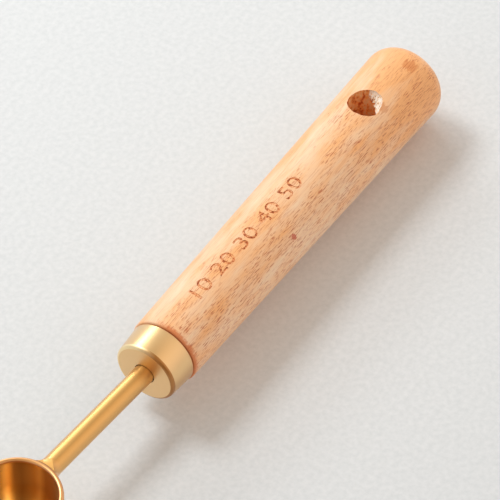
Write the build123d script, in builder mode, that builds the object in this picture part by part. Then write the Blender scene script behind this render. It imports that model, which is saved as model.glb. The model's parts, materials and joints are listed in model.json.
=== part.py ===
from build123d import *
import os
from math import asin, atan, atan2, cos, degrees, hypot, sqrt

# Quarter-teaspoon measuring spoon: a drawn metal bowl welded to a round rod, which is glued into a
# turned wooden handle behind a metal ferrule cap. Lengths are millimetres and angles are degrees.
# The origin is the centre of the bowl's flat foot, on the table. +X runs along the handle, +Z is up.

# Bowl
bowl_outer_radius = 7.3
bowl_height = 11.45
bowl_wall = 0.9
bowl_foot_radius = 4.7
bowl_lip_chamfer = 0.2

# Rod, whose top is level with the bowl's rim
rod_diameter = 3.5
rod_reach = 31.8
rod_lean = 3.0

# Weld between the rod's end and the bowl's wall
weld_gap = 0.3
weld_leg = 0.9
weld_length = 1.5

# Tang, the end of the rod that is glued into the handle
tang_length = 26.0
tang_tip_chamfer = 0.5
groove_width = 1.0
groove_depth = 0.3
groove_spacing = 7.0
groove_start = 9.5
groove_count = 2

# Ferrule cap, a cup pressed over the handle's spigot
cap_length = 5.3
cap_front_radius = 5.55
cap_back_radius = 5.85
cap_wall = 0.8
cap_front_wall = 1.0
cap_edge_round = 0.6
cap_back_chamfer = 0.15
cap_hole_clearance = 0.12

# Handle
handle_length = 75.0
handle_front_radius = 6.1
handle_butt_radius = 7.35
handle_butt_round = 3.6
handle_front_chamfer = 0.3
shoulder_gap = 0.15
spigot_end_gap = 0.25
spigot_edge_chamfer = 0.3
hanging_hole_diameter = 5.8
hanging_hole_from_butt = 16.3

# Glue
cap_glue_film = 0.15
tang_glue_film = 0.25
tang_glue_end = 1.5

# Cutting tools run past the faces that they cut by this much
overrun = 2.0

# Distances along the handle's axis, from the cap's front face
rod_radius = rod_diameter / 2
spigot_start = cap_front_wall + spigot_end_gap
shoulder = cap_length + shoulder_gap
butt_end = shoulder + handle_length
hole_place = butt_end - hanging_hole_from_butt

# The spoon stands on the bowl's foot and the underside of the butt, so its axis falls towards the butt
rod_height = bowl_height - rod_radius
round_place = handle_length - handle_butt_round
growth = (handle_butt_radius - handle_front_radius) / handle_length
radius_at_round = handle_front_radius + growth * round_place
centre_radius = radius_at_round - handle_butt_round / cos(atan(growth))
centre_run = rod_reach + shoulder + round_place
centre_fall = rod_height - handle_butt_round
slope_to_centre = atan2(centre_radius, centre_run)
pitch = degrees(asin(centre_fall / hypot(centre_run, centre_radius)) - slope_to_centre)

# The rod leans to one side of the handle's axis, as its loose hole in the cap lets it
side = Vector(0, -1, 0)
handle_direction = Vector(1, 0, 0).rotate(Axis.Y, pitch)
rod_direction = handle_direction.rotate(Axis.Z, -rod_lean)
rod_origin = Vector(0, 0, rod_height)
cap_face_centre = rod_origin + rod_direction * rod_reach
rod_axis = Axis(rod_origin, rod_direction)
handle_axis = Axis(cap_face_centre, handle_direction)
rod_side_view = Plane(origin=rod_origin, x_dir=rod_direction, z_dir=side.rotate(Axis.Z, -rod_lean))
handle_side_view = Plane(origin=cap_face_centre, x_dir=handle_direction, z_dir=side)


def across_rod(distance):
    """The plane square to the rod, at a distance from the bowl's centre line."""
    return Plane(origin=rod_origin + rod_direction * distance, z_dir=rod_direction)


def save(piece, name):
    piece.part.label = name
    export_step(piece.part, f"parts/{name}.step")


os.makedirs("parts", exist_ok=True)

# Bowl: a drawn cup, half a ball below with a flat foot, hollowed to an even wall
ball_height = sqrt(bowl_outer_radius**2 - bowl_foot_radius**2)
with BuildPart() as bowl:
    with BuildSketch(Plane.XZ):
        with BuildLine():
            Polyline(
                (bowl_foot_radius, 0),
                (0, 0),
                (0, bowl_height),
                (bowl_outer_radius, bowl_height),
                (bowl_outer_radius, ball_height),
            )
            RadiusArc((bowl_outer_radius, ball_height), (bowl_foot_radius, 0), bowl_outer_radius)
        make_face()
    revolve(axis=Axis.Z)
    blank_volume = bowl.part.volume
    offset(amount=-bowl_wall, openings=bowl.faces().sort_by(Axis.Z)[-1])
    capacity = blank_volume - bowl.part.volume
    chamfer(bowl.edges().group_by(Axis.Z)[-1], length=bowl_lip_chamfer)
save(bowl, "bowl")

# Rod: one straight bar from the bowl to the end of its grooved tang
rod_start = bowl_outer_radius + weld_gap
rod_end = rod_reach + tang_length
with BuildPart() as shank:
    with BuildSketch(across_rod(rod_start)):
        Circle(rod_radius)
    extrude(amount=rod_end - rod_start)
    chamfer(shank.edges().group_by(rod_axis)[-1], length=tang_tip_chamfer)
    for i in range(groove_count):
        groove_place = rod_reach + groove_start + i * groove_spacing
        with BuildSketch(across_rod(groove_place)):
            Circle(rod_radius + overrun)
            Circle(rod_radius - groove_depth, mode=Mode.SUBTRACT)
        extrude(amount=groove_width, mode=Mode.SUBTRACT)
save(shank, "shank")

# Weld: a flat fillet round the rod's end that fills the gap to the bowl, dressed off below the lip
weld_radius = rod_radius + weld_leg
weld_end = bowl_outer_radius + weld_length
weld_top = (bowl_outer_radius, weld_radius)
weld_toe = (weld_end, rod_radius)
with BuildPart() as bowl_weld:
    with BuildSketch(rod_side_view):
        with BuildLine():
            Polyline(weld_toe, (weld_end, 0), (0, 0), (0, weld_radius), weld_top, close=True)
        make_face()
    revolve(axis=rod_axis)
    with BuildSketch(Plane.XY):
        Circle(bowl_outer_radius)
    extrude(amount=bowl_height + overrun, mode=Mode.SUBTRACT)
    add(shank.part, mode=Mode.SUBTRACT)
    split(bisect_by=Plane.XY.offset(bowl_height - bowl_lip_chamfer), keep=Keep.BOTTOM)
save(bowl_weld, "bowl_weld")

# Ferrule cap: a shallow tapered cup with a loose hole for the rod, its front edge rounded in two flats
pocket_radius = cap_back_radius - cap_wall
cap_hole_radius = rod_radius + cap_hole_clearance
cap_edge_middle = cap_edge_round * (1 - sqrt(0.5))
cap_edge_radius = cap_front_radius + (cap_back_radius - cap_front_radius) * cap_edge_round / cap_length
with BuildPart() as ferrule_cap:
    with BuildSketch(handle_side_view) as cap_profile:
        with BuildLine():
            Polyline(
                (0, cap_hole_radius),
                (0, cap_front_radius - cap_edge_round),
                (cap_edge_middle, cap_front_radius - cap_edge_middle),
                (cap_edge_round, cap_edge_radius),
                (cap_length, cap_back_radius),
                (cap_length, pocket_radius),
                (cap_front_wall, pocket_radius),
                (cap_front_wall, cap_hole_radius),
                close=True,
            )
        make_face()
        chamfer(cap_profile.vertices().group_by(Axis.X)[-1], length=cap_back_chamfer)
    revolve(axis=handle_axis)
save(ferrule_cap, "ferrule_cap")

# Handle: a turned cone with a spigot for the cap, a blind bore for the tang and a hanging hole
spigot_radius = pocket_radius - cap_glue_film
bore_radius = rod_radius + tang_glue_film
bore_end = rod_end + tang_glue_end
hole_plane = Plane(
    origin=cap_face_centre + handle_direction * hole_place,
    x_dir=handle_direction,
    z_dir=handle_side_view.y_dir,
)
with BuildPart() as handle:
    with BuildSketch(handle_side_view) as handle_profile:
        with BuildLine():
            Polyline(
                (spigot_start, 0),
                (spigot_start, spigot_radius),
                (shoulder, spigot_radius),
                (shoulder, handle_front_radius),
                (butt_end, handle_butt_radius),
                (butt_end, 0),
                close=True,
            )
        make_face()
        spigot_corner = handle_profile.vertices().group_by(Axis.X)[0].sort_by(Axis.Y)[-1]
        chamfer(spigot_corner, length=spigot_edge_chamfer)
        front_corner = handle_profile.vertices().group_by(Axis.X)[-2].sort_by(Axis.Y)[-1]
        chamfer(front_corner, length=handle_front_chamfer)
        butt_corner = handle_profile.vertices().group_by(Axis.X)[-1].sort_by(Axis.Y)[-1]
        fillet(butt_corner, radius=handle_butt_round)
    revolve(axis=handle_axis)
    with BuildSketch(across_rod(rod_reach)):
        Circle(bore_radius)
    extrude(amount=bore_end - rod_reach, mode=Mode.SUBTRACT)
    with BuildSketch(hole_plane):
        Circle(hanging_hole_diameter / 2)
    extrude(amount=handle_butt_radius + overrun, both=True, mode=Mode.SUBTRACT)
save(handle, "handle")

# Glue round the tang: it fills the bore, the grooves and the space past the tip
glue_start = spigot_start + spigot_edge_chamfer
with BuildPart() as tang_glue:
    with BuildSketch(across_rod(rod_reach + glue_start)):
        Circle(bore_radius)
    extrude(amount=bore_end - rod_reach - glue_start)
    add(shank.part, mode=Mode.SUBTRACT)
save(tang_glue, "tang_glue")

# Glue between the spigot and the cap
with BuildPart() as cap_glue:
    with BuildSketch(handle_side_view):
        with BuildLine():
            Polyline(
                (glue_start, spigot_radius),
                (glue_start, pocket_radius),
                (cap_length - cap_back_chamfer, pocket_radius),
                (cap_length - cap_back_chamfer, spigot_radius),
                close=True,
            )
        make_face()
    revolve(axis=handle_axis)
save(cap_glue, "cap_glue")

print(f"level capacity {capacity / 1000:.3f} ml, axis falls {pitch:.2f} degrees towards the butt")
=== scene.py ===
import json
from math import asin, atan2, cos, degrees, pi, radians, sin, sqrt

import bpy
from mathutils import Matrix, Vector, noise


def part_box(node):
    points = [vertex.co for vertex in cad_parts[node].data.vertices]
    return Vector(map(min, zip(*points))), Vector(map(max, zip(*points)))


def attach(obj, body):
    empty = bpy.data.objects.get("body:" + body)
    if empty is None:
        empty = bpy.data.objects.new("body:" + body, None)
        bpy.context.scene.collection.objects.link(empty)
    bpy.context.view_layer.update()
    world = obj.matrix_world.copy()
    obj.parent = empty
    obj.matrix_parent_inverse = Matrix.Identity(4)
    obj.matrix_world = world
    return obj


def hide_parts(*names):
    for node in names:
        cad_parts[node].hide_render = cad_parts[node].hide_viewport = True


# A quarter-teaspoon measuring spoon of brass and light hardwood, standing on a pale table.
# Lengths in the code are metres, and mm turns a size in millimetres into metres. Angles are degrees.
mm = 0.001

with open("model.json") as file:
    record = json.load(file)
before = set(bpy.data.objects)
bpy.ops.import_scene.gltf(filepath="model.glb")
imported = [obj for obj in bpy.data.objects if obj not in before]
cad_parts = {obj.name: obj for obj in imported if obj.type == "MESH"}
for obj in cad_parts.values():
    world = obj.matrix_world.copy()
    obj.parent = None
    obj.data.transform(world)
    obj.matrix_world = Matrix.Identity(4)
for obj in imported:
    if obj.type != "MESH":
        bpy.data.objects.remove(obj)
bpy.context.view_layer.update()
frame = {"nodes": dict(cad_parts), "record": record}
nodes = frame["nodes"]

# Places from the frame: the hanging hole crosses the handle's axis, and X runs towards the butt
hole_mount = next(m for m in frame["record"]["mounts"] if m["name"] == "hanging_hole")
hole_centre = Vector(hole_mount["pos_m"])
hole_axis = Vector(hole_mount["axis"])
hole_radius = hole_mount["dims"]["r_mm"] * mm
handle_direction = Vector((hole_axis.z, 0, -hole_axis.x))
side = Vector((0, 1, 0))
bowl_low, bowl_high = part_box("bowl")

# Bowl
bowl_radius = (bowl_high.x - bowl_low.x) / 2
bowl_height = bowl_high.z
bowl_wall = 0.9 * mm
bowl_foot_radius = 4.7 * mm
bowl_lip_round = 0.43 * mm

# Rod and its tang, along the rod's axis from the bowl's centre line
rod_radius = 1.75 * mm
rod_start = 7.6 * mm
rod_reach = 31.8 * mm
rod_lean = 3.0
tang_length = 26.0 * mm
tang_chamfer = 0.5 * mm
groove_start = 9.5 * mm
groove_spacing = 7.0 * mm
groove_width = 1.0 * mm
groove_depth = 0.3 * mm
groove_count = 2
tang_glue_film = 0.25 * mm
tang_glue_end = 1.5 * mm
tang_end = rod_reach + tang_length
bore_radius = rod_radius + tang_glue_film
bore_end = tang_end + tang_glue_end

# Ferrule cap, along the handle's axis from the cap's front face
cap_length = 5.3 * mm
cap_front_radius = 5.55 * mm
cap_back_radius = 5.85 * mm
cap_wall = 0.8 * mm
cap_front_wall = 1.0 * mm
cap_edge_round = 0.6 * mm
cap_back_round = 0.15 * mm
cap_hole_clearance = 0.12 * mm
cap_glue_film = 0.15 * mm
cap_hole_radius = rod_radius + cap_hole_clearance
pocket_radius = cap_back_radius - cap_wall

# Handle, along the same axis
handle_length = 75.0 * mm
shoulder_gap = 0.15 * mm
spigot_end_gap = 0.25 * mm
spigot_chamfer = 0.3 * mm
front_radius = 6.1 * mm
front_round = 0.3 * mm
butt_radius = 7.35 * mm
butt_round = 3.6 * mm
hole_from_butt = 16.3 * mm
spigot_start = cap_front_wall + spigot_end_gap
spigot_radius = pocket_radius - cap_glue_film
shoulder = cap_length + shoulder_gap
butt_end = shoulder + handle_length
handle_growth = (butt_radius - front_radius) / handle_length

cap_face = hole_centre - handle_direction * (butt_end - hole_from_butt)
rod_direction = Matrix.Rotation(radians(-rod_lean), 3, "Z") @ handle_direction
rod_origin = cap_face - rod_direction * rod_reach

# Facets round a wide piece and a thin one
wide_facets = 160
thin_facets = 96

# Cutters run past the faces that they cut by this much
overrun = 3 * mm


def axis_matrix(origin, direction):
    """Places local +Z along a direction, with local +Y towards the spoon's side."""
    x_axis = side.cross(direction).normalized()
    y_axis = direction.cross(x_axis)
    turn = Matrix((x_axis, y_axis, direction)).transposed()
    return Matrix.Translation(origin) @ turn.to_4x4()


handle_place = axis_matrix(cap_face, handle_direction)
rod_place = axis_matrix(rod_origin, rod_direction)


def deselect():
    if bpy.context.object and bpy.context.object.mode == "EDIT":
        bpy.ops.object.mode_set(mode="OBJECT")
    bpy.ops.object.select_all(action="DESELECT")


def activate(piece):
    deselect()
    piece.select_set(True)
    bpy.context.view_layer.objects.active = piece


def settle(piece, matrix):
    """Moves a finished piece to its place and keeps that place in its mesh."""
    activate(piece)
    piece.matrix_world = matrix
    bpy.ops.object.transform_apply(location=True, rotation=True, scale=True)


def spread(start, end, steps):
    """Evenly spaced values from a start to an end, both included."""
    return [start + (end - start) * i / steps for i in range(steps + 1)]


def turned(name, rings, closed=False, facets=wide_facets):
    """A turned solid about local +Z: a circle extruded and resized to each (distance, radius) ring."""
    deselect()
    fill_type = "NOTHING" if closed else "NGON"
    distance, radius = rings[0]
    bpy.ops.mesh.primitive_circle_add(
        vertices=facets, radius=radius, fill_type=fill_type, location=(0, 0, distance))
    piece = bpy.context.object
    piece.name = name
    bpy.ops.object.transform_apply(location=True)
    bpy.ops.object.mode_set(mode="EDIT")
    bpy.ops.mesh.select_all(action="SELECT")
    for next_distance, next_radius in rings[1:]:
        step = {"value": (0, 0, next_distance - distance)}
        bpy.ops.mesh.extrude_region_move(TRANSFORM_OT_translate=step)
        scale = next_radius / radius
        bpy.ops.transform.resize(
            value=(scale, scale, 1), center_override=(0, 0, next_distance))
        distance, radius = next_distance, next_radius
    bpy.ops.mesh.select_all(action="SELECT")
    if closed:
        bpy.ops.mesh.remove_doubles(threshold=0.001 * mm)
    bpy.ops.mesh.normals_make_consistent(inside=False)
    bpy.ops.object.mode_set(mode="OBJECT")
    return piece


def arc(centre_distance, centre_radius, radius, start, end, steps):
    """Rings on a round, between angles where 0 points outwards and 90 along +Z."""
    angles = [radians(angle) for angle in spread(start, end, steps)]
    return [(centre_distance + radius * sin(a), centre_radius + radius * cos(a)) for a in angles]


def cut(piece, cutter):
    """A boolean cut whose new faces keep the cutter's material."""
    modifier = piece.modifiers.new("cut", "BOOLEAN")
    modifier.operation = "DIFFERENCE"
    modifier.solver = "EXACT"
    modifier.material_mode = "TRANSFER"
    modifier.object = cutter
    activate(piece)
    bpy.ops.object.modifier_apply(modifier=modifier.name)
    bpy.data.objects.remove(cutter)


def smooth(piece, angle):
    activate(piece)
    bpy.ops.object.shade_smooth_by_angle(angle=radians(angle))


def give_materials(piece, *materials):
    piece.data.materials.clear()
    for material in materials:
        piece.data.materials.append(material)


def finish_piece(piece, replaced):
    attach(piece, "root")
    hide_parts(replaced)


# Materials


def colour(code):
    """An sRGB hex value as the linear colour that a shader takes."""
    parts = [int(code[i:i + 2], 16) / 255 for i in (1, 3, 5)]
    linear = [p / 12.92 if p <= 0.04045 else ((p + 0.055) / 1.055) ** 2.4 for p in parts]
    return (*linear, 1)


def grey(value):
    return (value, value, value, 1)


def new_material(name):
    material = bpy.data.materials.new(name)
    material.use_nodes = True
    return material, material.node_tree, material.node_tree.nodes["Principled BSDF"]


def fill(tree, made, inputs):
    """Sets a node's inputs, and links those whose value is another node's output."""
    for key, value in dict(inputs).items():
        if isinstance(value, bpy.types.NodeSocket):
            tree.links.new(value, made.inputs[key])
        else:
            made.inputs[key].default_value = value


def node(tree, kind, inputs=(), out=0, stops=(), **settings):
    """Adds a node with its settings, inputs and colour stops, and returns the output asked for."""
    made = tree.nodes.new("ShaderNode" + kind)
    for key, value in settings.items():
        setattr(made, key, value)
    fill(tree, made, inputs)
    for i, (position, shade) in enumerate(stops):
        elements = made.color_ramp.elements
        element = elements[i] if i < 2 else elements.new(position)
        element.position = position
        element.color = shade
    return made.outputs[out]


# Sockets of a Mix node that mixes colours: its three inputs and its output
factor, under, over, mixed = 0, 6, 7, 2


def along_handle(tree, origin):
    """Object coordinates from an origin, turned so that X runs along the handle."""
    place = node(tree, "TexCoord", out="Object")
    turn = (0, -asin(handle_direction.z), 0)
    inputs = {"Vector": place, "Location": origin, "Rotation": turn}
    return node(tree, "Mapping", inputs, vector_type="TEXTURE")


def grain(tree, origin, sizes, detail=3.0, distortion=0.0):
    """A pattern whose marks have these sizes, in metres, along the handle, across it and upwards."""
    place = node(tree, "Mapping", {
        "Vector": along_handle(tree, origin), "Scale": [1 / size for size in sizes]})
    return node(tree, "TexNoise", {
        "Vector": place, "Scale": 1.0, "Detail": detail, "Distortion": distortion})


# Rubberwood, sanded and bare: peach with faint tan bands, a little tanner towards the butt, and open
# pores that show as short red-brown dashes. Real pores are 0.1 to 0.2 mm wide and 1 to 2 mm long.
wood_pale = "#FFDDB8"
wood_tan = "#FFBE7E"
wood_pore = "#BC4E18"
band_size = (60 * mm, 3.4 * mm, 3.4 * mm)
band_share = 0.5
mottle_size = (9 * mm, 2.2 * mm, 2.2 * mm)
mottle_share = 0.6
tan_start = 60 * mm
tan_share = 0.225
line_size = (5 * mm, 0.16 * mm, 0.16 * mm)
line_strength = 0.26
pore_size = (1.4 * mm, 0.14 * mm, 0.14 * mm)
pore_strength = 0.7
pore_group_size = (9 * mm, 2.4 * mm, 2.4 * mm)

# Painted light: pores thin out across the handle towards the window, so that side shows paler
pore_thinning_painted_light = -0.027 / mm


def wood_nodes(tree):
    """The bare wood's colour, and how deep its pores are, from 0 to 1."""
    place = along_handle(tree, cap_face)
    along = node(tree, "SeparateXYZ", {"Vector": place}, "X")
    across = node(tree, "SeparateXYZ", {"Vector": place}, "Y")
    bands = grain(tree, hole_centre, band_size, distortion=0.4)
    mottle = grain(tree, cap_face, mottle_size)
    tanner = node(tree, "MapRange", {
        "Value": along, "From Min": tan_start, "From Max": butt_end, "To Max": tan_share})
    figure = node(tree, "Math", {0: bands, 1: band_share, 2: tanner}, operation="MULTIPLY_ADD")
    figure = node(tree, "Math", {0: mottle, 1: mottle_share, 2: figure}, operation="MULTIPLY_ADD")
    base = node(tree, "ValToRGB", {"Fac": figure}, stops=(
        (0.4, colour(wood_pale)), (0.68, colour(wood_tan))))

    lines = node(tree, "MapRange", {
        "Value": grain(tree, cap_face, line_size, detail=1.0),
        "From Min": 0.52, "From Max": 0.75, "To Max": line_strength})
    colours = {factor: lines, under: base, over: colour(wood_pore)}
    lined = node(tree, "Mix", colours, mixed, data_type="RGBA")

    pores = node(tree, "MapRange", {
        "Value": grain(tree, hole_centre, pore_size, detail=1.0), "From Min": 0.565, "From Max": 0.64})
    groups = grain(tree, cap_face, pore_group_size, detail=2.0)
    # Painted light: fewer pores on the window's side
    groups = node(tree, "Math", {0: across, 1: pore_thinning_painted_light, 2: groups}, operation="MULTIPLY_ADD")
    groups = node(tree, "MapRange", {
        "Value": groups, "From Min": 0.42, "From Max": 0.62, "To Min": 0.12})
    depth = node(tree, "Math", {0: pores, 1: groups}, operation="MULTIPLY")
    dark = node(tree, "Math", {0: depth, 1: pore_strength}, operation="MULTIPLY")
    colours = {factor: dark, under: lined, over: colour(wood_pore)}
    return node(tree, "Mix", colours, mixed, data_type="RGBA"), depth


# Stain from glue and polish on the handle's front edge, and painted shade: strongest on the side away
# from the window
stain_and_shade_colour = "#DC7A3C"
stain_and_shade_strength = 0.85
stain_and_shade_size = (0.5 * mm, 0.7 * mm, 0.7 * mm)
stain_and_shade_raggedness = 1.6 * mm
stain_and_shade_full = shoulder - 0.51 * mm
stain_and_shade_gone = shoulder + 0.21 * mm


def seam_stain_and_shade(tree):
    """How strongly the stain and painted shade show: they fade out from the shoulder to the butt, and
    to the window.
    """
    place = along_handle(tree, cap_face)
    along = node(tree, "SeparateXYZ", {"Vector": place}, "X")
    across = node(tree, "SeparateXYZ", {"Vector": place}, "Y")
    ragged = grain(tree, cap_face, stain_and_shade_size)
    reach = node(tree, "Math", {0: ragged, 1: -stain_and_shade_raggedness, 2: along}, operation="MULTIPLY_ADD")
    near = node(tree, "MapRange", {
        "Value": reach, "From Min": stain_and_shade_full, "From Max": stain_and_shade_gone,
        "To Min": stain_and_shade_strength, "To Max": 0.0})
    # Painted shade: stronger on the side away from the window
    painted_shade_side = node(tree, "MapRange", {
        "Value": across, "From Min": 2.0 * mm, "From Max": -1.0 * mm, "To Min": 0.15})
    return node(tree, "Math", {0: near, 1: painted_shade_side}, operation="MULTIPLY")


# Marks in the wood, in millimetres: place, size, and the length, width and height of the teeth of
# their ragged edge, then strength and colour
wood_marks = (
    ((66.61, -7.01, 12.07), 1.3, (0.3, 0.3, 0.3), 0.8, "#CC5538"),
    ((107.6, -3.5, 14.35), 2.6, (2.0, 0.4, 0.4), 0.5, "#D8762C"),
    ((97.2, -4.7, 14.0), 2.2, (2.4, 0.3, 0.3), 0.4, "#C86A2A"),
)


def spot(tree, place, size, teeth, strength):
    """A ragged spot, from its strength in the middle to 0 at its edge."""
    here = node(tree, "TexCoord", out="Object")
    away = node(tree, "VectorMath", {0: here, 1: place}, "Value", operation="DISTANCE")
    ragged = grain(tree, hole_centre, teeth)
    reach = node(tree, "Math", {0: ragged, 1: size, 2: away}, operation="MULTIPLY_ADD")
    return node(tree, "MapRange", {
        "Value": reach, "From Min": 0.9 * size, "From Max": size, "To Min": strength, "To Max": 0.0})


def rubberwood():
    """Sanded wood: matt, with a faint pale fuzz at a low angle."""
    material, tree, shader = new_material("rubberwood_sanded")
    shown, depth = wood_nodes(tree)
    coats = [(seam_stain_and_shade(tree), stain_and_shade_colour)]
    for place, size, teeth, strength, code in wood_marks:
        coats.append((spot(tree, Vector(place) * mm, size * mm, Vector(teeth) * mm, strength), code))
    for mask, code in coats:
        colours = {factor: mask, under: shown, over: colour(code)}
        shown = node(tree, "Mix", colours, mixed, data_type="RGBA")
    bump = node(tree, "Bump", {"Height": depth, "Distance": 0.02 * mm, "Strength": 0.3}, invert=True)
    fill(tree, shader, {
        "Base Color": shown, "Roughness": 0.55, "Sheen Weight": 0.5, "Sheen Roughness": 0.4,
        "Sheen Tint": colour("#FFF0E4"), "Normal": bump})
    return material


def torn_fibres(name, fibre_size, stops, depth, strength):
    """Wood whose fibres stand up, shaded from the gaps between them to their tips."""
    material, tree, shader = new_material(name)
    fibres = grain(tree, hole_centre, fibre_size, detail=4.0)
    shown = node(tree, "ValToRGB", {"Fac": fibres}, stops=stops)
    bump = node(tree, "Bump", {"Height": fibres, "Distance": depth, "Strength": strength})
    fill(tree, shader, {"Base Color": shown, "Roughness": 0.8, "Normal": bump})
    return material


def scorched_wood():
    """The floor of the stamped numbers: brown where the hot stamp bit, faint where it did not."""
    material, tree, shader = new_material("rubberwood_scorched")
    bare = wood_nodes(tree)[0]
    bite_size = (0.45 * mm, 0.45 * mm, 0.45 * mm)
    bite = grain(tree, hole_centre, bite_size)
    burnt = node(tree, "ValToRGB", {"Fac": bite}, stops=(
        (0.42, grey(0.1)), (0.5, grey(0.8)), (0.62, grey(1))))
    brown = node(tree, "ValToRGB", {"Fac": bite}, stops=(
        (0.5, colour("#DC7C3C")), (0.6, colour("#A84E1C"))))
    shown = node(tree, "Mix", {factor: burnt, under: bare, over: brown}, mixed, data_type="RGBA")
    fill(tree, shader, {"Base Color": shown, "Roughness": 0.7})
    return material


def brass(name, code, roughness, marks, depth, coat_ior=1.9, coat_roughness=0.32, spun=False):
    """Satin brass under lacquer; its fine marks have sizes along the handle, across it and upwards."""
    material, tree, shader = new_material(name)
    height = grain(tree, cap_face, marks)
    bump = node(tree, "Bump", {"Height": height, "Distance": depth, "Strength": 0.5})
    fill(tree, shader, {
        "Base Color": colour(code), "Metallic": 1.0, "Roughness": roughness, "Coat Weight": 1.0,
        "Coat Roughness": coat_roughness, "Coat IOR": coat_ior, "Normal": bump})
    if spun:
        round_bowl = node(tree, "Tangent", direction_type="RADIAL", axis="Z")
        fill(tree, shader, {"Anisotropic": 0.8, "Anisotropic Rotation": 0.25, "Tangent": round_bowl})
    return material


# Painted reflections inside the bowl, as upright bands: degrees round its axis from the rod, and
# colour
painted_bowl_reflections = (
    (-60, "#D8A860"), (-18, "#DEAE6C"), (-7, "#D0A058"), (3, "#FFDA92"), (12, "#E6B262"),
    (30, "#BA8842"), (40, "#C8964E"), (47, "#EABC70"), (55, "#FFE2A4"), (75, "#E8BC78"),
    (120, "#D8A860"))


def painted_reflection_streaks(material):
    """Painted reflections: upright bands of brighter and browner colour round the inside of the bowl.
    """
    tree = material.node_tree
    place = node(tree, "TexCoord", out="Object")
    turn = node(tree, "TexGradient", {"Vector": place}, "Fac", gradient_type="RADIAL")
    stops = [(0.5 + angle / 360, colour(code)) for angle, code in painted_bowl_reflections]
    shown = node(tree, "ValToRGB", {"Fac": turn}, stops=stops)
    fill(tree, tree.nodes["Principled BSDF"], {"Base Color": shown})
    return material


def painted_edge_light(material):
    """The cap's front edge, painted pale on the window's side as painted light and brown on the far
    side as painted shade.
    """
    tree = material.node_tree
    place = node(tree, "TexCoord", out="Object")
    across = node(tree, "SeparateXYZ", {"Vector": place}, "Y")
    # Painted light and shade: pale towards the window, brown away from it
    pale = node(tree, "MapRange", {"Value": across, "From Min": -3.5 * mm, "From Max": 0.0})
    colours = {factor: pale, under: colour("#BC7E34"), over: colour("#FFE4AC")}
    shown = node(tree, "Mix", colours, mixed, data_type="RGBA")
    fill(tree, tree.nodes["Principled BSDF"], {"Base Color": shown})
    return material


def epoxy():
    """Cured epoxy: amber, cloudy and a little shiny."""
    material, tree, shader = new_material("epoxy_cured")
    cloud = grain(tree, cap_face, (1 * mm, 1 * mm, 1 * mm), detail=2.0)
    shown = node(tree, "ValToRGB", {"Fac": cloud}, stops=(
        (0.3, colour("#C2A05F")), (0.7, colour("#D2B272"))))
    fill(tree, shader, {"Base Color": shown, "Roughness": 0.35})
    return material


wood = rubberwood()

# Drilled rubberwood, the hole's wall: torn fibres, redder than the sanded face, with a few pale ones
hole_wood = torn_fibres(
    "rubberwood_drilled", (0.8 * mm, 0.6 * mm, 1.1 * mm),
    ((0.38, colour("#CC662C")), (0.5, colour("#FFB66C")), (0.62, colour("#FFD6A4"))),
    depth=0.2 * mm, strength=0.8)

# Torn rubberwood, where the hole's mouth is chipped: pale clean fibres with a few dark gaps
chip_wood = torn_fibres(
    "rubberwood_torn", (0.9 * mm, 0.25 * mm, 0.3 * mm),
    ((0.34, colour("#8C5028")), (0.40, colour("#FFD2A4")), (0.55, colour("#FFF0E0"))),
    depth=0.25 * mm, strength=0.9)

stamp_wood = scorched_wood()

# The brass has a clear coat, whose IOR is set for how much of the room each finish mirrors.
# Real marks are a few hundredths of a millimetre wide, and here they are coarser so that they show.

# Bead-blasted brass: an even fine grain, with a wide pale shine
cap_brass = brass(
    "brass_bead_blasted", "#EEB95A", roughness=0.36, marks=(0.3 * mm, 0.3 * mm, 0.3 * mm),
    depth=0.004 * mm, coat_ior=2.6, coat_roughness=0.36)

# Duller brass on the cap's front edge, with painted light: pale on the window's side and brown on the
# other
edge_brass_painted_light = painted_edge_light(brass(
    "brass_edge_painted_light", "#F0BC66", roughness=0.5, marks=(0.3 * mm, 0.3 * mm, 0.3 * mm),
    depth=0.002 * mm, coat_ior=1.5))

# Drawn brass: long hair lines along the rod, with a soft streak of light
rod_brass = brass(
    "brass_drawn", "#E4A41C", roughness=0.4, marks=(8 * mm, 0.12 * mm, 0.12 * mm),
    depth=0.006 * mm, coat_ior=2.2, coat_roughness=0.4)

# Brushed brass: level hair lines round the bowl, which stretch its highlights up and down
bowl_finish = {
    "code": "#E0B067", "roughness": 0.3, "marks": (3 * mm, 3 * mm, 0.08 * mm),
    "depth": 0.006 * mm, "coat_ior": 1.5, "spun": True}
bowl_brass = brass("brass_brushed", **bowl_finish)
# Painted reflections: the inside of the bowl gets colour bands in place of the room that it mirrors
inside_brass_painted_reflections = painted_reflection_streaks(brass("brass_brushed_inside_painted_reflections", **bowl_finish))

# Turned brass, the bowl's lip: fine rings, a little redder than the brushed faces
lip_brass = brass(
    "brass_turned_lip", "#EAA658", roughness=0.4, marks=(0.5 * mm, 0.5 * mm, 0.1 * mm),
    depth=0.004 * mm)

# Filed brass, the weld: short coarse strokes
weld_brass = brass(
    "brass_filed", "#E8AA48", roughness=0.4, marks=(0.5 * mm, 0.2 * mm, 0.2 * mm),
    depth=0.01 * mm)


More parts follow.
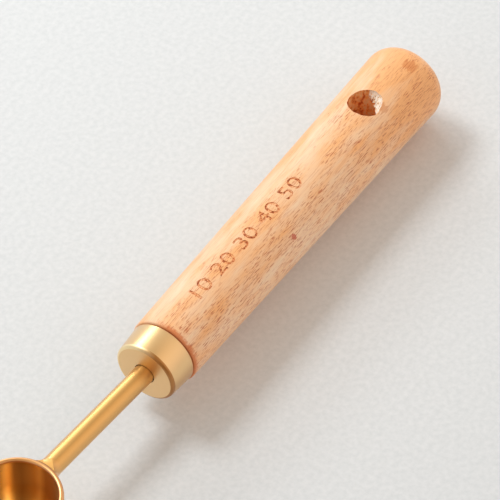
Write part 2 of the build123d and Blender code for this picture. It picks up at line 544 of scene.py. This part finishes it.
# Bowl: spun from its flat foot, up the ball and wall, over the lip and down inside
def make_bowl():
    inner = bowl_radius - bowl_wall
    ball = sqrt(bowl_radius**2 - bowl_foot_radius**2)
    foot_angle = degrees(asin(bowl_foot_radius / bowl_radius)) - 90
    floor_angle = -degrees(asin((ball - bowl_wall) / inner))
    lip = bowl_lip_round
    lip_height = bowl_height - lip
    wall = spread(ball, lip_height, steps=6)[1:-1]
    rings = arc(ball, 0, bowl_radius, foot_angle, 0, steps=24)
    rings += [(height, bowl_radius) for height in wall]
    rings += arc(lip_height, bowl_radius - lip, lip, 0, 90, steps=6)
    rings += arc(lip_height, inner + lip, lip, 90, 180, steps=6)
    rings += [(height, inner) for height in reversed(wall)]
    rings += arc(ball, 0, inner, 0, floor_angle, steps=24)
    piece = turned("spun_bowl", rings)
    smooth(piece, angle=30)
    give_materials(piece, bowl_brass, lip_brass, inside_brass_painted_reflections)

    # The inside is the faces below the lip that look at the bowl's axis, or up
    for face in piece.data.polygons:
        inwards = face.normal.x * face.center.x + face.normal.y * face.center.y < 0
        if face.center.z > lip_height:
            face.material_index = 1
        elif inwards or face.normal.z > 0.5:
            face.material_index = 2
    finish_piece(piece, "bowl")


# Rod: one drawn bar, with glue grooves round the tang that the handle hides. It is dressed with the
# weld, and a little deeper.
rod_dressing = 0.03 * mm


def make_rod():
    rings = [(rod_start, rod_radius)]
    for i in range(groove_count):
        place = rod_reach + groove_start + i * groove_spacing
        floor = rod_radius - groove_depth
        rings += [(place, rod_radius), (place, floor)]
        rings += [(place + groove_width, floor), (place + groove_width, rod_radius)]
    rings += [(tang_end - tang_chamfer, rod_radius), (tang_end, rod_radius - tang_chamfer)]
    piece = turned("drawn_rod", rings, facets=thin_facets)
    give_materials(piece, rod_brass)
    settle(piece, rod_place)
    cut(piece, dressing_cutter(rod_dressing))
    smooth(piece, angle=30)
    finish_piece(piece, "shank")


# Weld: a hollow blend round the rod's end, dressed flat a little below the bowl's lip
weld_root = 6.3 * mm
weld_end = 8.9 * mm
weld_rise = 1.7 * mm
weld_proud = 0.01 * mm
weld_hollow = 2.6
weld_top = bowl_height - 0.22 * mm

# The dressed face ends this far from the bowl's axis, and its end turns up in three steps, given as
# (height, distance back from the end)
dressed_end = 8.75 * mm
dressed_steps = ((0, 0.35 * mm), (0.04 * mm, 0.12 * mm), (0.25 * mm, 0))


def dressing_cutter(depth=0):
    """The file's path over the weld, round the bowl's own axis."""
    low = weld_top - depth
    rings = [(low + height, dressed_end - back) for height, back in dressed_steps]
    rings.append((low + overrun, dressed_end))
    return turned("dressing_cutter", rings)


def make_weld():
    rings = []
    for share in spread(0, 1, steps=14):
        blend = weld_rise * (1 - share) ** weld_hollow
        rings.append((weld_root + (weld_end - weld_root) * share, rod_radius + weld_proud + blend))
    piece = turned("filed_weld", rings, facets=thin_facets)
    settle(piece, rod_place)
    cut(piece, turned("bowl_wall_cutter", [(0, bowl_radius), (bowl_height + overrun, bowl_radius)]))
    cut(piece, dressing_cutter())
    smooth(piece, angle=40)
    give_materials(piece, weld_brass)
    finish_piece(piece, "bowl_weld")


# Ferrule cap: a turned cup with a rounded front edge and a loose hole for the rod
def make_cap():
    edge = cap_edge_round
    back = cap_back_round
    rings = [(0, cap_hole_radius), (0, cap_front_radius - edge)]
    rings += arc(edge, cap_front_radius - edge, edge, -90, 3, steps=10)[1:]
    rings += arc(cap_length - back, cap_back_radius - back, back, 3, 90, steps=4)
    rings += [(cap_length, pocket_radius), (cap_front_wall, pocket_radius)]
    rings += [(cap_front_wall, cap_hole_radius), (0, cap_hole_radius)]
    piece = turned("ferrule_cup", rings, closed=True)
    settle(piece, handle_place)
    smooth(piece, angle=40)
    give_materials(piece, cap_brass, edge_brass_painted_light)
    to_cap = handle_place.inverted()
    behind_face = 0.01 * mm
    for face in piece.data.polygons:
        place = to_cap @ face.center
        across = Vector((place.x, place.y)).length
        if behind_face < place.z < edge and across > cap_front_radius - edge:
            face.material_index = 1
    finish_piece(piece, "ferrule_cap")


# Handle: turned in one piece with its spigot, then bored, drilled and stamped
def handle_radius(distance):
    return front_radius + handle_growth * (distance - shoulder)


def make_handle():
    slope = degrees(asin(handle_growth))
    taper_start = shoulder + front_round
    round_start = butt_end - butt_round
    round_radius = handle_radius(round_start) - butt_round
    taper = spread(taper_start, round_start, steps=48)[1:-1]
    rings = [(spigot_start, spigot_radius - spigot_chamfer)]
    rings += [(spigot_start + spigot_chamfer, spigot_radius), (shoulder, spigot_radius)]
    rings += [(shoulder, front_radius - front_round)]
    rings += arc(taper_start, front_radius - front_round, front_round, -90, 0, steps=6)[1:]
    rings += [(distance, handle_radius(distance)) for distance in taper]
    rings += arc(round_start, round_radius, butt_round, -slope, 90, steps=16)
    piece = turned("turned_handle", rings)
    give_materials(piece, wood)
    settle(piece, handle_place)
    cut(piece, bore_cutter())
    cut(piece, hole_cutter())
    cut(piece, number_cutter())
    smooth(piece, angle=32)
    finish_piece(piece, "handle")


def bore_cutter():
    cutter = turned("bore_cutter", [(rod_reach, bore_radius), (bore_end, bore_radius)], facets=64)
    give_materials(cutter, hole_wood)
    settle(cutter, rod_place)
    return cutter


# Hanging hole: its wall wanders a little. At its top mouth, fibres torn from the edge lean into the
# hole as a ragged ledge. Heights are from the handle's axis, and the angle is from the butt's side.
hole_reach = 9.0 * mm
hole_wander = 0.1 * mm
hole_wander_size = 0.7 * mm
chip_angle = -42.0
chip_half_angle = 62.0
chip_underside = 4.9 * mm
chip_ledge = 5.9 * mm
chip_mouth = 6.8 * mm
chip_inward = 1.2 * mm
chip_outward = 0.35 * mm
chip_raggedness = 0.7
chip_ragged_size = 0.45 * mm
chip_least_share = 0.1
chip_overlap = 0.3 * mm


def hole_cutter():
    """The drill's path, with a slightly uneven wall and a chip torn from the top mouth."""
    rings = [(height, hole_radius) for height in spread(-hole_reach, hole_reach, steps=72)]
    cutter = turned("hole_cutter", rings, facets=thin_facets)
    for vertex in cutter.data.vertices:
        outward = Vector((vertex.co.x, vertex.co.y, 0)).normalized()
        uneven = noise.noise(vertex.co / hole_wander_size) * hole_wander
        ragged = 1 + chip_raggedness * noise.noise(vertex.co / chip_ragged_size)
        under_ledge = share_between(vertex.co.z, chip_underside, chip_ledge)
        over_ledge = share_between(vertex.co.z, chip_ledge, chip_mouth)
        chip = chip_outward * over_ledge - chip_inward * under_ledge * (1 - over_ledge)
        vertex.co += outward * (uneven + chip_share(vertex.co) * chip * ragged)
    give_materials(cutter, hole_wood, chip_wood)
    for face in cutter.data.polygons:
        if chip_share(face.center) > chip_least_share and face.center.z > chip_ledge - chip_overlap:
            face.material_index = 1
    turn = Matrix((handle_direction, side, hole_axis)).transposed()
    settle(cutter, Matrix.Translation(hole_centre) @ turn.to_4x4())
    return cutter


def share_between(value, start, end):
    """How far a value has come from a start to an end, from 0 to 1."""
    return max(0.0, min(1.0, (value - start) / (end - start)))


def chip_share(place):
    """How strongly the chip shows at a place round the hole, from 0 to 1."""
    from_middle = degrees(atan2(place.y, place.x)) - chip_angle
    return max(0.0, 1 - (from_middle / chip_half_angle) ** 2)


# Stamped numbers: the row's two ends along the handle, its height and depth, and its turn round it
stamp_text = "10 20 30 40 50"
stamp_start = 13.6 * mm
stamp_end = 43.6 * mm
stamp_height = 2.5 * mm
stamp_depth = 0.1 * mm
stamp_turn = -1.5

# Their cutter stands this far out of the wood, and is sliced so that it bends round it
stamp_proud = 0.3 * mm
stamp_slices = 10


def number_cutter():
    """Plain numbers in a row on top of the handle, bent round it and sunk to an even depth."""
    deselect()
    bpy.ops.object.text_add()
    bpy.context.object.data.body = stamp_text
    bpy.ops.object.convert(target="MESH")
    cutter = bpy.context.object
    cutter.name = "number_cutter"
    xs = [v.co.x for v in cutter.data.vertices]
    ys = [v.co.y for v in cutter.data.vertices]
    left, right = min(xs), max(xs)
    foot, top = min(ys), max(ys)
    bpy.ops.object.mode_set(mode="EDIT")
    for level in spread(foot, top, stamp_slices)[1:-1]:
        bpy.ops.mesh.select_all(action="SELECT")
        bpy.ops.mesh.bisect(plane_co=(0, level, 0), plane_no=(0, 1, 0))
    bpy.ops.mesh.select_all(action="SELECT")
    bpy.ops.mesh.remove_doubles(threshold=0.0001)
    bpy.ops.mesh.extrude_region_move(TRANSFORM_OT_translate={"value": (0, 0, 1)})
    bpy.ops.mesh.select_all(action="SELECT")
    bpy.ops.mesh.normals_make_consistent(inside=False)
    bpy.ops.object.mode_set(mode="OBJECT")
    for vertex in cutter.data.vertices:
        distance = stamp_start + (stamp_end - stamp_start) * (vertex.co.x - left) / (right - left)
        surface = handle_radius(distance)
        above_middle = stamp_height * ((vertex.co.y - foot) / (top - foot) - 0.5)
        angle = radians(stamp_turn) + above_middle / surface
        radius = surface + (stamp_proud if vertex.co.z > 0.5 else -stamp_depth)
        vertex.co = (-radius * cos(angle), radius * sin(angle), distance)
    give_materials(cutter, stamp_wood)
    settle(cutter, handle_place)
    return cutter


make_bowl()
make_rod()
make_weld()
make_cap()
make_handle()

for name in ("tang_glue", "cap_glue"):
    give_materials(nodes[name], epoxy())


# Table: pale matt card with a faint tooth, which carries the shadow
table_tooth = 0.9 * mm


def make_table():
    material, tree, shader = new_material("pale_card")
    place = node(tree, "TexCoord", out="Object")
    tooth = node(tree, "TexNoise", {"Vector": place, "Scale": 1 / table_tooth, "Detail": 3.0})
    shown = node(tree, "ValToRGB", {"Fac": tooth}, stops=(
        (0.3, colour("#DEE3E6")), (0.7, colour("#E8ECEF"))))
    fill(tree, shader, {"Base Color": shown, "Roughness": 0.9, "Specular IOR Level": 0.2})
    deselect()
    bpy.ops.mesh.primitive_plane_add(size=6.0, location=(0, 0, 0))
    table = bpy.context.object
    table.name = "table"
    give_materials(table, material)


# Light: a small softbox that casts the shadow and a low window that the metal mirrors, both on the
# spoon's left. The room's walls are cool on that side and warm on the other, with one dark corner,
# and its ceiling is darkest straight overhead.
handle_middle = cap_face + handle_direction * 0.5 * butt_end
window_side = 90.0
room_near_window = "#ABB9C6"
room_far_side = "#FFF2EB"
room_level = 1.18
dark_corner = "#6E452A"
dark_corner_azimuth = 220.0
dark_corner_elevation = 8.0


def towards(azimuth, elevation):
    a, e = radians(azimuth), radians(elevation)
    return Vector((cos(e) * cos(a), cos(e) * sin(a), sin(e)))


def make_lamp(name, azimuth, elevation, distance, width, height, level, shade):
    """A glowing rectangle that faces the spoon; its level is its brightness, where 1 is white."""
    deselect()
    bpy.ops.object.light_add(type="AREA")
    lamp = bpy.context.object
    lamp.name = name
    lamp.data.shape = "RECTANGLE"
    lamp.data.size = width
    lamp.data.size_y = height
    lamp.data.energy = level * pi * width * height
    lamp.data.color = colour(shade)[:3]
    way = towards(azimuth, elevation)
    lamp.location = handle_middle + way * distance
    lamp.rotation_euler = way.to_track_quat("Z", "Y").to_euler()


def make_room():
    world = bpy.data.worlds.new("room")
    bpy.context.scene.world = world
    world.use_nodes = True
    tree = world.node_tree
    direction = node(tree, "TexCoord", out="Generated")
    window_way = towards(window_side, 0)
    facing = node(tree, "VectorMath", {0: direction, 1: window_way}, "Value", operation="DOT_PRODUCT")
    share = node(tree, "Math", {0: facing, 1: 0.5, 2: 0.5}, operation="MULTIPLY_ADD")
    walls = node(tree, "ValToRGB", {"Fac": share}, stops=(
        (0.0, colour(room_far_side)), (1.0, colour(room_near_window))))
    height = node(tree, "SeparateXYZ", {"Vector": direction}, "Z")
    ceiling = node(tree, "ValToRGB", {"Fac": height}, stops=(
        (0.0, colour("#E0E1E6")), (0.5, colour("#FFFDFA")),
        (0.86, colour("#FDF0DA")), (1.0, colour("#5A4A38"))))
    corner_way = towards(dark_corner_azimuth, dark_corner_elevation)
    behind = node(tree, "VectorMath", {0: direction, 1: corner_way}, "Value", operation="DOT_PRODUCT")
    gloom = node(tree, "ValToRGB", {"Fac": behind}, stops=(
        (0.72, grey(1)), (0.92, colour(dark_corner))))
    shown = walls
    for shade in (ceiling, gloom):
        colours = {factor: 1.0, under: shown, over: shade}
        shown = node(tree, "Mix", colours, mixed, data_type="RGBA", blend_type="MULTIPLY")
    fill(tree, tree.nodes["Background"], {"Color": shown, "Strength": room_level})


# Camera at the photograph's place and lens
camera_place = Vector((-226.18, -183.64, 428.64)) * mm
camera_aim = Vector((68.53, 2.59, 0.0)) * mm
camera_roll = 2.065
camera_lens = 237.8


def make_camera():
    deselect()
    bpy.ops.object.camera_add(location=camera_place)
    camera = bpy.context.object
    camera.data.lens = camera_lens
    camera.data.sensor_width = 36.0
    camera.data.clip_start = 0.01
    camera.data.clip_end = 20.0
    aim = (camera_aim - camera_place).to_track_quat("-Z", "Y")
    roll = Matrix.Rotation(radians(camera_roll), 3, "Z").to_quaternion()
    camera.rotation_euler = (aim @ roll).to_euler()
    bpy.context.scene.camera = camera


make_table()
make_lamp(
    "softbox", azimuth=window_side, elevation=50.0, distance=0.6, width=0.171, height=0.171,
    level=16.2, shade="#F8FDFF")
make_lamp(
    "low_window", azimuth=60.0, elevation=28.0, distance=0.55, width=0.257, height=0.12,
    level=7.2, shade="#F9FEFF")
make_room()
make_camera()
bpy.context.scene.view_settings.view_transform = "Standard"
